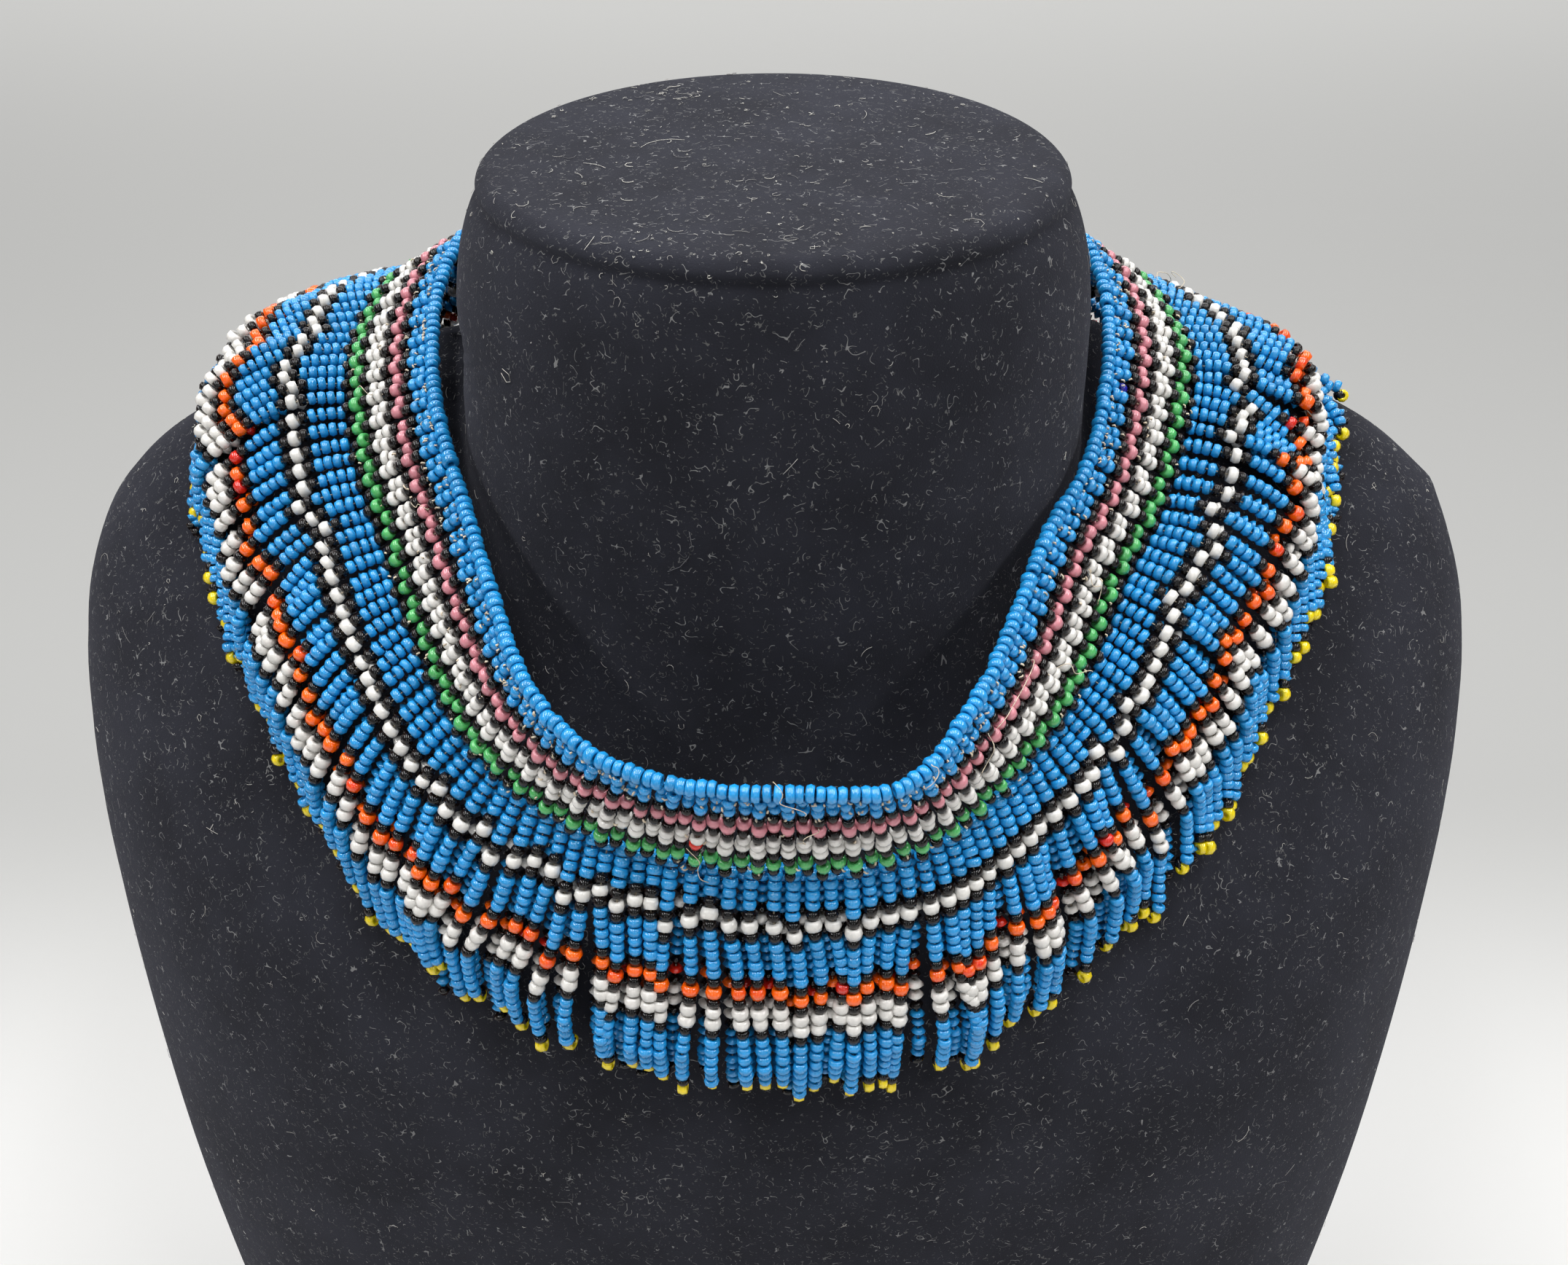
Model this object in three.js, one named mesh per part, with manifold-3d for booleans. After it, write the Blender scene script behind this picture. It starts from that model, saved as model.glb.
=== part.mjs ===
// Beaded collar necklace resting on a flat-topped velvet neck bust.
// Millimetres. Origin under the middle of the base, +Z up, the front faces -Y.
import * as THREE from "three";
import Module from "manifold-3d";

const HEIGHT = 310;          // bust height, base to the middle of the neck top
const DROP = 120;            // depth from the neck top to the foot of the shoulders
const NECK_HALF = 56.5;      // half width of the neck
const NECK_REACH = 52;       // front and back reach of the neck from its axis
const NECK_Y = 2;            // neck axis, behind the middle of its top
const HALF_WIDTH = 142.4;    // half width of the body at the shoulders
const CHEST = 90;            // reach of the chest in front of the body's axis
const REAR = 45;             // reach of the back behind the body's axis
const YOKE_Y = 30;           // body axis at the top of the shoulders
const TOP_TILT = 5;          // degrees the neck top leans forward
const TILT_DEPTH = 34;       // depth over which that lean fades out
const LIP = 4.6;             // thickness of the padded top panel
const LIP_ROUND = 4.2;       // rounding of that panel's upper edge
const BUST_SIDES = 44;       // points round each bust section
const BLEND = 11;            // sharpness of the neck-to-shoulder blend
const GAP = 0.35;            // clearance between neighbouring solids

const EDGE_R = 1.3;          // radius of the rolled rim of beads
const BAND_W = 20;           // woven band, rim centre to outer edge
const BAND_T = 2.5;          // woven band thickness
const RING = 76;             // steps along the collar
const END_SLIT = 3.6;        // half the slit between the collar's ends, at the back
const BACKING_T = 1.9;       // fringe backing thickness
const LOCK_T = 2.6;          // thickness of a lock of strands
const LOCKS = 54;            // locks of strands in the fringe
const TAB_T = 2.4;           // closure tab thickness

// Neck: depth as a share of DROP, half width of NECK_HALF, front and back of NECK_REACH.
const NECK = [
  { d: 0, a: 0.885, f: 0.865, b: 0.913 },
  { d: 0.117, a: 0.961, f: 0.894, b: 0.923 },
  { d: 0.2, a: 0.988, f: 0.923, b: 0.933 },
  { d: 0.333, a: 0.988, f: 0.952, b: 0.962 },
  { d: 0.583, a: 0.995, f: 0.981, b: 1 },
  { d: 1, a: 1, f: 1, b: 1 },
];
// Shoulders and torso: depth as a share of DROP, past 1 by the share of the height left
// below it; then half width of HALF_WIDTH, axis of YOKE_Y, front of CHEST, back of REAR,
// and the exponent of the section's outline.
const BODY = [
  { d: 0.283, a: 0.351, y: 1, f: 0.089, b: 0.156, n: 2 },
  { d: 0.342, a: 0.485, y: 1, f: 0.122, b: 0.244, n: 2 },
  { d: 0.375, a: 0.604, y: 1, f: 0.167, b: 0.311, n: 2 },
  { d: 0.396, a: 0.695, y: 1, f: 0.206, b: 0.378, n: 2 },
  { d: 0.417, a: 0.737, y: 0.983, f: 0.233, b: 0.422, n: 2 },
  { d: 0.442, a: 0.787, y: 0.983, f: 0.278, b: 0.467, n: 2 },
  { d: 0.479, a: 0.85, y: 0.967, f: 0.344, b: 0.533, n: 2 },
  { d: 0.533, a: 0.913, y: 0.933, f: 0.433, b: 0.644, n: 2 },
  { d: 0.604, a: 0.957, y: 0.883, f: 0.533, b: 0.722, n: 2 },
  { d: 0.692, a: 0.985, y: 0.817, f: 0.639, b: 0.789, n: 2 },
  { d: 0.8, a: 0.999, y: 0.733, f: 0.756, b: 0.844, n: 2 },
  { d: 0.9, a: 1, y: 0.7, f: 0.856, b: 0.889, n: 2 },
  { d: 1, a: 0.999, y: 0.65, f: 0.95, b: 0.933, n: 2 },
  { d: 1.074, a: 0.99, y: 0.6, f: 1, b: 0.967, n: 2 },
  { d: 1.168, a: 0.98, y: 0.533, f: 1, b: 0.989, n: 2.05 },
  { d: 1.316, a: 0.966, y: 0.483, f: 0.978, b: 1, n: 2.1 },
  { d: 1.5, a: 0.941, y: 0.433, f: 0.939, b: 1, n: 2.2 },
  { d: 1.737, a: 0.895, y: 0.35, f: 0.856, b: 0.967, n: 2.25 },
  { d: 2, a: 0.839, y: 0.267, f: 0.756, b: 0.933, n: 2.3 },
];
// Top panel: depth as a share of LIP, inset of LIP_ROUND.
const PANEL = [
  { d: 0, inset: 1 },
  { d: 0.11, inset: 0.38 },
  { d: 0.39, inset: 0.07 },
  { d: 0.7, inset: 0.05 },
  { d: 1, inset: 0.36 },
  { d: 1.24, inset: 0.12 },
];
// Depths of the sections below the panel, as the body's table counts them.
const SECTIONS = [
  0.075, 0.117, 0.167, 0.225, 0.283, 0.317, 0.342, 0.367, 0.392, 0.417, 0.442, 0.475,
  0.508, 0.55, 0.6, 0.667, 0.767, 0.883, 1.021, 1.137, 1.305, 1.5, 1.737, 2,
];

// Route of the collar from its left end at the back, round the front, to its right end:
// rim, band edge, bow point and tip of the strand there. Each point is a bearing round
// the bust in degrees from +X, a depth as a share of DROP, and how far it stands off
// the bust at that depth.
const ROUTE = [
  { rim: [90, 0.175, 5.2], band: [90, 0.317, 14.2], bow: [90, 0.433, 22.4], tip: [90, 0.683, 11.1] },
  { rim: [115.3, 0.179, 9.1], band: [126.7, 0.321, 20], bow: [126, 0.425, 28.6], tip: [129.6, 0.667, 15.1] },
  { rim: [133.2, 0.192, 15.7], band: [146.1, 0.308, 31], bow: [150.4, 0.375, 44.4], tip: [157.5, 0.533, 22] },
  { rim: [147, 0.217, 18.2], band: [162, 0.3, 34.2], bow: [166.8, 0.308, 39.9], tip: [174.6, 0.362, 37] },
  { rim: [166.5, 0.263, 12.9], band: [181.2, 0.342, 12.4], bow: [183.2, 0.325, 40.3], tip: [185.6, 0.404, 20.8] },
  { rim: [195.8, 0.317, 7.7], band: [192, 0.379, 21.5], bow: [191.6, 0.358, 43.8], tip: [191, 0.492, 12.2] },
  { rim: [213.6, 0.367, 4.5], band: [204.6, 0.442, 20.2], bow: [201, 0.442, 32.4], tip: [197.3, 0.575, 9.5] },
  { rim: [227.1, 0.425, 5.7], band: [217, 0.525, 16.7], bow: [214.7, 0.525, 32.1], tip: [206.9, 0.704, 8.6] },
  { rim: [237.1, 0.483, 11.7], band: [228, 0.596, 18.3], bow: [224.9, 0.633, 29.1], tip: [217, 0.825, 8.2] },
  { rim: [246.6, 0.55, 22.2], band: [239.3, 0.683, 22], bow: [235.4, 0.75, 26.3], tip: [228.9, 0.938, 8.5] },
  { rim: [255, 0.592, 29.1], band: [250.1, 0.738, 23.3], bow: [249.5, 0.842, 22.5], tip: [243.2, 1.033, 6.8] },
  { rim: [263, 0.608, 30.8], band: [260.5, 0.762, 23.7], bow: [260, 0.867, 20.7], tip: [258.3, 1.117, 7.3] },
  { rim: [272.7, 0.608, 32], band: [273.5, 0.767, 25.4], bow: [273.5, 0.883, 19.7], tip: [273.5, 1.133, 7.2] },
  { rim: [280.7, 0.608, 32.1], band: [284.8, 0.75, 24.4], bow: [286.5, 0.842, 22.1], tip: [288.7, 1.1, 7.6] },
  { rim: [288.3, 0.558, 23.1], band: [296.7, 0.688, 20.4], bow: [299.2, 0.767, 23.1], tip: [307.2, 0.963, 4.5] },
  { rim: [297.3, 0.504, 11.3], band: [307.1, 0.621, 15.7], bow: [310.6, 0.658, 22.4], tip: [321.4, 0.854, 3.4] },
  { rim: [306.4, 0.446, 4.2], band: [317.6, 0.55, 12.7], bow: [319.1, 0.567, 26.5], tip: [330.8, 0.717, 6.5] },
  { rim: [318.2, 0.396, 3.1], band: [328.8, 0.487, 14.6], bow: [328.9, 0.467, 29.8], tip: [340, 0.596, 7.5] },
  { rim: [333.7, 0.338, 4.1], band: [341.8, 0.408, 18.6], bow: [343.8, 0.417, 27.5], tip: [344.8, 0.517, 12.2] },
  { rim: [354.5, 0.296, 7.9], band: [351.3, 0.362, 18.4], bow: [351.8, 0.358, 30.3], tip: [351.2, 0.412, 25.7] },
  { rim: [22.4, 0.246, 14.2], band: [3.9, 0.333, 14.5], bow: [0.8, 0.342, 21.8], tip: [1.7, 0.375, 18.4] },
  { rim: [35.3, 0.212, 18], band: [20.3, 0.304, 33.5], bow: [13.6, 0.342, 43.6], tip: [11.9, 0.45, 22.1] },
  { rim: [48.4, 0.192, 15], band: [36.1, 0.308, 29.7], bow: [32.8, 0.392, 41], tip: [26.3, 0.558, 22.7] },
  { rim: [65.6, 0.179, 8.8], band: [54.3, 0.321, 19.6], bow: [54.9, 0.425, 28.3], tip: [51.1, 0.667, 14.8] },
  { rim: [90, 0.175, 5.2], band: [90, 0.317, 14.2], bow: [90, 0.433, 22.4], tip: [90, 0.683, 11.1] },
];

const wasm = await Module();
wasm.setup();
const { Manifold, Mesh: SolidMesh } = wasm;

const v3 = (x, y, z) => new THREE.Vector3(x, y, z);

// Depth in millimetres of a table's share: up to 1 within DROP, then down to the base.
function depthOf(share) {
  return Math.min(share, 1) * DROP + Math.max(0, share - 1) * (HEIGHT - DROP);
}

const neckRows = NECK.map((row) => ({
  d: depthOf(row.d), a: row.a * NECK_HALF, f: row.f * NECK_REACH, b: row.b * NECK_REACH,
}));
const bodyRows = BODY.map((row) => ({
  d: depthOf(row.d), a: row.a * HALF_WIDTH, y: row.y * YOKE_Y, f: row.f * CHEST, b: row.b * REAR,
  n: row.n,
}));
const YOKE_TOP = bodyRows[0].d;     // depth at which the shoulders begin

// Row of a table at depth d, every number blended linearly.
function rowAt(table, d) {
  let i = 0;
  while (i < table.length - 2 && table[i + 1].d < d) i += 1;
  const lo = table[i];
  const hi = table[i + 1];
  const t = Math.min(1, Math.max(0, (d - lo.d) / (hi.d - lo.d)));
  const row = {};
  for (const key of Object.keys(lo)) row[key] = lo[key] + (hi[key] - lo[key]) * t;
  return row;
}

// Size of the superellipse through a point, 1 on the section's outline.
function share(x, y, s, n) {
  const reach = y < 0 ? s.f : s.b;
  return Math.pow(Math.pow(Math.abs(x) / s.a, n) + Math.pow(Math.abs(y) / reach, n), 1 / n);
}

// Middle of a section: the neck's axis, then over to the body's.
function centreY(d) {
  const over = THREE.MathUtils.smoothstep(d, YOKE_TOP * 0.765, YOKE_TOP * 1.236);
  return THREE.MathUtils.lerp(NECK_Y, rowAt(bodyRows, d).y, over);
}

// Distance from the middle of a section to the bust's surface at an angle.
function bustRadius(d, angle) {
  const neck = rowAt(neckRows, d);
  const body = rowAt(bodyRows, d);
  const merge = THREE.MathUtils.smoothstep(d, YOKE_TOP, YOKE_TOP * 1.118);
  const cy = centreY(d);
  const ux = Math.cos(angle);
  const uy = Math.sin(angle);
  let lo = 0;
  let hi = 2 * Math.max(HALF_WIDTH, CHEST, NECK_HALF, NECK_REACH);
  for (let i = 0; i < 40; i += 1) {
    const r = (lo + hi) / 2;
    const a = share(r * ux, cy + r * uy - NECK_Y, neck, 2);
    const b = share(r * ux, cy + r * uy - body.y, body, body.n);
    const size = Math.pow(Math.pow(a, -BLEND) + merge * Math.pow(b, -BLEND), -1 / BLEND);
    if (size < 1) lo = r;
    else hi = r;
  }
  return lo;
}

// One bust section: points round the blend of neck and body at this depth.
function bustSection(d, inset) {
  const cy = centreY(d);
  const lean = Math.tan(THREE.MathUtils.degToRad(TOP_TILT)) * Math.max(0, 1 - d / TILT_DEPTH);
  const points = [];
  for (let k = 0; k < BUST_SIDES; k += 1) {
    const angle = (k / BUST_SIDES) * Math.PI * 2;
    const r = bustRadius(d, angle) - inset;
    const y = cy + r * Math.sin(angle);
    points.push(v3(r * Math.cos(angle), y, HEIGHT - d + lean * y));
  }
  return points;
}

// Closed body from a stack of loops of equal length, capped at both ends.
function loft(loops) {
  const size = loops[0].length;
  const verts = [];
  const tris = [];
  for (const loop of loops) for (const p of loop) verts.push(p.x, p.y, p.z);
  for (let i = 0; i + 1 < loops.length; i += 1) {
    for (let k = 0; k < size; k += 1) {
      const a = i * size + k;
      const b = i * size + ((k + 1) % size);
      tris.push(a, b, b + size, a, b + size, a + size);
    }
  }
  for (const [row, flip] of [[0, true], [loops.length - 1, false]]) {
    const mid = loops[row].reduce((sum, p) => sum.add(p), v3(0, 0, 0)).divideScalar(size);
    const centre = verts.length / 3;
    verts.push(mid.x, mid.y, mid.z);
    for (let k = 0; k < size; k += 1) {
      const a = row * size + k;
      const b = row * size + ((k + 1) % size);
      if (flip) tris.push(centre, b, a);
      else tris.push(centre, a, b);
    }
  }
  const geometry = new THREE.BufferGeometry();
  geometry.setAttribute("position", new THREE.Float32BufferAttribute(verts, 3));
  geometry.setIndex(tris);
  return geometry;
}

function bust() {
  const loops = PANEL.map((row) => bustSection(row.d * LIP, row.inset * LIP_ROUND));
  for (const share of SECTIONS) loops.push(bustSection(depthOf(share), 0));
  return loft(loops.reverse());
}

// Point of the route: bearing, depth share and stand-off from the bust there.
function routePoint([bearing, down, off]) {
  const d = down * DROP;
  const angle = THREE.MathUtils.degToRad(bearing);
  const r = bustRadius(d, angle) + off;
  return v3(r * Math.cos(angle), centreY(d) + r * Math.sin(angle), HEIGHT - d);
}

// The four guide curves of the collar, each open and smooth along the route.
const guides = {};
for (const key of ["rim", "band", "bow", "tip"]) {
  const points = ROUTE.map((row) => routePoint(row[key]));
  guides[key] = new THREE.CatmullRomCurve3(points, false, "centripetal");
}

// Share of the route at which the rim has run the given part of its free length.
const rimLength = guides.rim.getLength();
const slit = END_SLIT / rimLength;
function stretch(u) {
  return guides.rim.getUtoTmapping(slit + u * (1 - 2 * slit));
}

// Point on the collar's middle surface: s is mm out from the rim within the band,
// then 0 to 1 along the hanging strand.
function bandPoint(u, s) {
  const t = stretch(u);
  const rim = guides.rim.getPoint(t);
  const edge = guides.band.getPoint(t);
  return rim.addScaledVector(edge.sub(rim.clone()).normalize(), s);
}
function strandPoint(u, s) {
  const t = stretch(u);
  const a = bandPoint(u, BAND_W);
  const b = guides.bow.getPoint(t);
  const c = guides.tip.getPoint(t);
  const q = 1 - s;
  return a.multiplyScalar(q * q).addScaledVector(b, 2 * q * s).addScaledVector(c, s * s);
}

// The outward normal of either surface.
function normal(point, u, s, step) {
  const du = 0.004;
  const u0 = Math.max(0, u - du);
  const u1 = Math.min(1, u + du);
  const along = point(u1, s).sub(point(u0, s));
  const across = point(u, s + step).sub(point(u, s - step));
  return across.cross(along).normalize();
}

function offsetPoint(point, u, s, step, out) {
  return point(u, s).addScaledVector(normal(point, u, s, step), out);
}

// Loop round a sheet's cut at u: out along its top face, back along its underside.
function sheetLoop(point, u, stops, step, top, bottom) {
  const upper = stops.map((s) => offsetPoint(point, u, s, step, top));
  const lower = stops.map((s) => offsetPoint(point, u, s, step, bottom));
  return upper.concat(lower.reverse());
}

function rolledEdge() {
  const loops = [];
  for (let i = 0; i <= RING; i += 1) {
    const u = i / RING;
    const out = normal(bandPoint, u, 2, 1);
    const across = bandPoint(u, 2).sub(bandPoint(u, 0)).normalize();
    const loop = [];
    for (let k = 0; k < 8; k += 1) {
      const angle = (k / 8) * Math.PI * 2;
      const p = bandPoint(u, 0).addScaledVector(out, Math.cos(angle) * EDGE_R);
      loop.push(p.addScaledVector(across, Math.sin(angle) * EDGE_R));
    }
    loops.push(loop);
  }
  return loft(loops);
}

function wovenBand() {
  const stops = [EDGE_R + GAP + 0.15, BAND_W * 0.4, BAND_W * 0.7, BAND_W - GAP];
  const loops = [];
  for (let i = 0; i <= RING; i += 1) {
    loops.push(sheetLoop(bandPoint, i / RING, stops, 1, BAND_T / 2, -BAND_T / 2));
  }
  return loft(loops);
}

function toSolid(geometry) {
  const mesh = new SolidMesh({
    numProp: 3,
    vertProperties: new Float32Array(geometry.attributes.position.array),
    triVerts: new Uint32Array(geometry.index.array),
  });
  mesh.merge();
  const solid = new Manifold(mesh);
  if (solid.volume() > 0) return solid;
  const index = Array.from(geometry.index.array);
  for (let i = 0; i < index.length; i += 3) [index[i], index[i + 1]] = [index[i + 1], index[i]];
  mesh.triVerts.set(index);
  return new Manifold(mesh);
}

function fromSolid(solid) {
  const mesh = solid.getMesh();
  const geometry = new THREE.BufferGeometry();
  geometry.setAttribute("position", new THREE.Float32BufferAttribute(mesh.vertProperties, 3));
  geometry.setIndex(Array.from(mesh.triVerts));
  return geometry;
}

// Repeatable spread of values between -1 and 1.
function spread(i, salt) {
  const x = Math.sin(i * 12.9898 + salt * 78.233) * 43758.5453;
  return 2 * (x - Math.floor(x)) - 1;
}

function fringe() {
  const stops = [0.02, 0.28, 0.55, 0.8];
  const loops = [];
  const steps = RING - 12;
  for (let i = 0; i <= steps; i += 1) {
    loops.push(sheetLoop(strandPoint, i / steps, stops, 0.01, 0.1, 0.1 - BACKING_T));
  }
  let solid = toSolid(loft(loops));
  for (let i = 0; i < LOCKS; i += 1) {
    const half = 0.46 / LOCKS;
    const mid = (i + 0.5) / LOCKS;
    const sway = spread(i, 1) * 0.28 / LOCKS;
    const end = 0.97 + 0.05 * spread(i, 2);
    const rise = 0.25 * spread(i, 3);
    const rows = [0.1, 0.35, 0.6, 0.82, end].map((s) => {
      const shift = sway * s;
      const at = [mid - half + shift, mid + half + shift].map((u) => Math.min(1, Math.max(0, u)));
      const top = LOCK_T * 0.5 + 0.4 + rise * s;
      const low = top - LOCK_T;
      return [
        offsetPoint(strandPoint, at[0], s, 0.01, top), offsetPoint(strandPoint, at[1], s, 0.01, top),
        offsetPoint(strandPoint, at[1], s, 0.01, low), offsetPoint(strandPoint, at[0], s, 0.01, low),
      ];
    });
    solid = solid.add(toSolid(loft(rows)));
  }
  return fromSolid(solid);
}

// Plain tab that closes the slit between the band's ends.
function closureTab() {
  const rim = guides.rim.getPoint(0);
  const out = guides.band.getPoint(0).sub(rim).normalize();
  const side = v3(1, 0, 0);
  const up = side.clone().cross(out).normalize();
  const half = END_SLIT - GAP;
  const loops = [0, BAND_W * 0.5, BAND_W - 1].map((s) => [[-1, 1], [1, 1], [1, -1], [-1, -1]].map(
    ([x, z]) => rim.clone().addScaledVector(out, s).addScaledVector(side, x * half)
      .addScaledVector(up, z * TAB_T / 2),
  ));
  return loft(loops);
}

const group = new THREE.Group();
function add(name, geometry, color, roughness) {
  const solid = fromSolid(toSolid(geometry));
  solid.computeVertexNormals();
  const material = new THREE.MeshStandardMaterial({ color, roughness, metalness: 0 });
  material.name = name;
  const mesh = new THREE.Mesh(solid, material);
  mesh.name = name;
  group.add(mesh);
}

add("neck_bust", bust(), 0x15151a, 0.95);
add("rolled_edge", rolledEdge(), 0x2d87d7, 0.25);
add("woven_band", wovenBand(), 0xe6a0a8, 0.3);
add("fringe", fringe(), 0x2478c8, 0.3);
add("closure_tab", closureTab(), 0x2d87d7, 0.6);

export default group;
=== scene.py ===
"""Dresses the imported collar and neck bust: glass seed beads, thread, velvet and studio."""

import math

import bmesh
import bpy
import numpy as np
from bpy.props import (
    FloatProperty,
    FloatVectorProperty,
    IntProperty,
    PointerProperty,
)
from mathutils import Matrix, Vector
from mathutils.bvhtree import BVHTree


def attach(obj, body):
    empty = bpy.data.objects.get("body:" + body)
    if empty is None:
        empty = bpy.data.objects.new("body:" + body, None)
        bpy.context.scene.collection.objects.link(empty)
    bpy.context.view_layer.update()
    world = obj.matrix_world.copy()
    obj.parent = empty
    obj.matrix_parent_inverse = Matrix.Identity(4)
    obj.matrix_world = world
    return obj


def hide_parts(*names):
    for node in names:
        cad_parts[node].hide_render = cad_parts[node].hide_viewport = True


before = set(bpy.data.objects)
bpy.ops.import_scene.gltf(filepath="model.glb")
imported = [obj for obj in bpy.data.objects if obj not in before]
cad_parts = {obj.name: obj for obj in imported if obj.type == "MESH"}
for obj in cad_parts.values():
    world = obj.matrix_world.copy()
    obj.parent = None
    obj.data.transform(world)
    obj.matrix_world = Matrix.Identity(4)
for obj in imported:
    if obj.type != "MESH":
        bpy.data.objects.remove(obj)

bl_info = {
    "name": "Beaded collar on a neck bust",
    "version": (1, 0, 0),
    "blender": (4, 5, 0),
    "location": "View3D > Sidebar > Collar",
    "description": "Builds the seed beads, thread and velvet of a woven bead collar",
    "category": "Object",
}

MM = 0.001
TURN = 2 * math.pi

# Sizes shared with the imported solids, in millimetres.
HEIGHT = 310.0
BAND_W = 20.0
END_SLIT = 3.6

# Route of the collar from its left end at the back, round the front, to its right end.
# Each row: rim, band edge, bow point and tip of the strand there (x, y, depth below the top).
ROUTE = [
    ((0, 55.5, 21), (0, 66, 38), (0, 76, 52), (0, 72, 82)),
    ((-25, 55, 21.5), (-29, 65.5, 38.5), (-33, 75, 51), (-38, 71, 80)),
    ((-46, 51, 23), (-56, 61, 37), (-67, 68, 45), (-82, 62, 64)),
    ((-60, 41, 26), (-76.5, 46, 36), (-88, 44, 37), (-105.5, 40, 43.5)),
    ((-63.5, 25, 31.5), (-81, 28, 41), (-96, 22, 39), (-111, 19, 48.5)),
    ((-62.5, 8, 38), (-80, 13, 45.5), (-97.5, 10, 43), (-111.5, 7, 59)),
    ((-58.8, -9, 44), (-75.5, -5, 53), (-90, -5, 53), (-106.5, -6, 69)),
    ((-52.5, -27, 51), (-68, -23, 63), (-82.5, -29, 63), (-97, -25, 84.5)),
    ((-46.5, -43, 58), (-60, -40, 71.5), (-72, -46, 76), (-84.5, -42, 99)),
    ((-38.5, -61.5, 66), (-48.5, -57, 82), (-58, -61, 90), (-68.5, -58, 112.5)),
    ((-27, -74, 71), (-33, -67.5, 88.5), (-35, -72, 101), (-45, -70, 124)),
    ((-13, -79, 73), (-16, -73, 91.5), (-17, -75, 104), (-20, -78.5, 134)),
    ((5, -81, 73), (6, -76, 92), (6, -76, 106), (6, -79.5, 136)),
    ((20, -79, 73), (25, -71.5, 90), (28, -73, 101), (32, -76.5, 132)),
    ((31, -66, 67), (42, -59, 82.5), (48, -63, 92), (60, -59, 115.5)),
    ((39.5, -48, 60.5), (53, -44, 74.5), (62, -47, 79), (79.5, -42, 102.5)),
    ((46, -33, 53.5), (61, -28, 66), (73, -36, 68), (91, -27, 86)),
    ((54.3, -18.5, 47.5), (69, -13, 58.5), (81.5, -20, 56), (100.5, -10, 71.5)),
    ((59.5, 0, 40.5), (75, 5, 49), (88, 4, 50), (104.3, 0, 62)),
    ((61.8, 14, 35.5), (78.5, 18, 43.5), (90, 17, 43), (107, 13, 49.5)),
    ((62, 31, 29.5), (78, 34, 40), (91, 31, 41), (103, 33, 45)),
    ((58, 43, 25.5), (72, 49, 36.5), (84, 50, 41), (98, 50, 54)),
    ((44, 51.5, 23), (53, 62, 37), (62, 70, 47), (76, 65, 67)),
    ((24, 55, 21.5), (28, 65.5, 38.5), (32, 75, 51), (37, 71, 80)),
    ((0, 55.5, 21), (0, 66, 38), (0, 76, 52), (0, 72, 82)),
]
GUIDE_NAMES = ("rim", "band", "bow", "tip")
GUIDES = {
    name: np.array([(row[i][0], row[i][1], HEIGHT - row[i][2]) for row in ROUTE], float)
    for i, name in enumerate(GUIDE_NAMES)
}

# Bead kinds: diameter and length in millimetres.
KINDS = ("blue", "black", "white", "pink", "green", "orange", "yellow", "red", "cobalt")
BEAD_SIZE = {
    "blue": (2.6, 1.68),
    "black": (2.4, 1.7),
    "white": (2.9, 2.05),
    "pink": (2.75, 1.85),
    "green": (2.8, 1.85),
    "orange": (2.8, 2.1),
    "yellow": (2.7, 1.95),
    "red": (2.6, 1.85),
    "cobalt": (2.5, 1.8),
}
RIM_SIZE = (2.85, 1.68)
# One column of the band from the rim outwards, with the diameters and lengths of its beads.
COLUMN = ("blue", "blue", "black", "pink", "black", "white", "white", "black", "green", "black")
COLUMN_WIDE = (2.35, 2.4, 2.4, 2.65, 2.4, 2.8, 2.8, 2.4, 2.7, 2.35)
COLUMN_LONG = (1.68, 1.68, 1.8, 1.85, 1.75, 1.45, 1.45, 1.8, 1.9, 1.75)
# One leg of a hanging loop from the band down: bead kinds and how many of each.
STRAND = (
    ("blue", 4), ("black", 1), ("white", 1), ("black", 1), ("blue", 4), ("black", 1),
    ("orange", 1), ("black", 1), ("white", 2), ("black", 1), ("blue", 6), ("black", 1),
)
# Shares of the rim where the bottom bead of a loop hangs out in sight.
OPEN_TIPS = (
    0.254, 0.262, 0.318, 0.372, 0.443, 0.454, 0.479, 0.531, 0.537, 0.543, 0.559, 0.566, 0.577,
    0.588, 0.602, 0.615, 0.638, 0.643, 0.656, 0.686, 0.700, 0.712, 0.719, 0.769, 0.776, 0.793,
)
# Half section of a bead, hole to belly, as shares of its diameter and length.
FULL_RING = ((0.19, -0.44), (0.42, -0.4), (0.5, 0.0), (0.42, 0.4), (0.19, 0.44))
PLAIN_RING = ((0.2, -0.46), (0.5, 0.0), (0.2, 0.46))
# How much closer the beads sit at the front, and how much smaller the band's are there.
RIM_CROWD, BAND_CROWD, FRONT_SHRINK = 0.06, 0.165, 0.09
# Millimetres by which the columns, in turn either way, slide along and rise out of the band.
COLUMN_SLIDE, COLUMN_RIPPLE = 0.38, 0.28
# Share of the rim by which the strands at the sides sag towards the front.
SAG = 0.0125
# Heights over the fringe's middle surface, in millimetres: front legs where they leave the
# band, and back legs there and lower down. Then their least distances from the velvet.
FRONT_TOP, BACK_TOP, BACK_LIFT = 0.4, -1.6, -1.5
FRONT_CLEAR, BACK_CLEAR = 2.7, 1.35
# Steps from the last blue bead to the yellow one: hanging open, and tucked down and in.
OPEN_STEP, TUCK_STEP, TUCK_IN = 1.8, 1.75, 1.1


# Curves of the collar.

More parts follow.
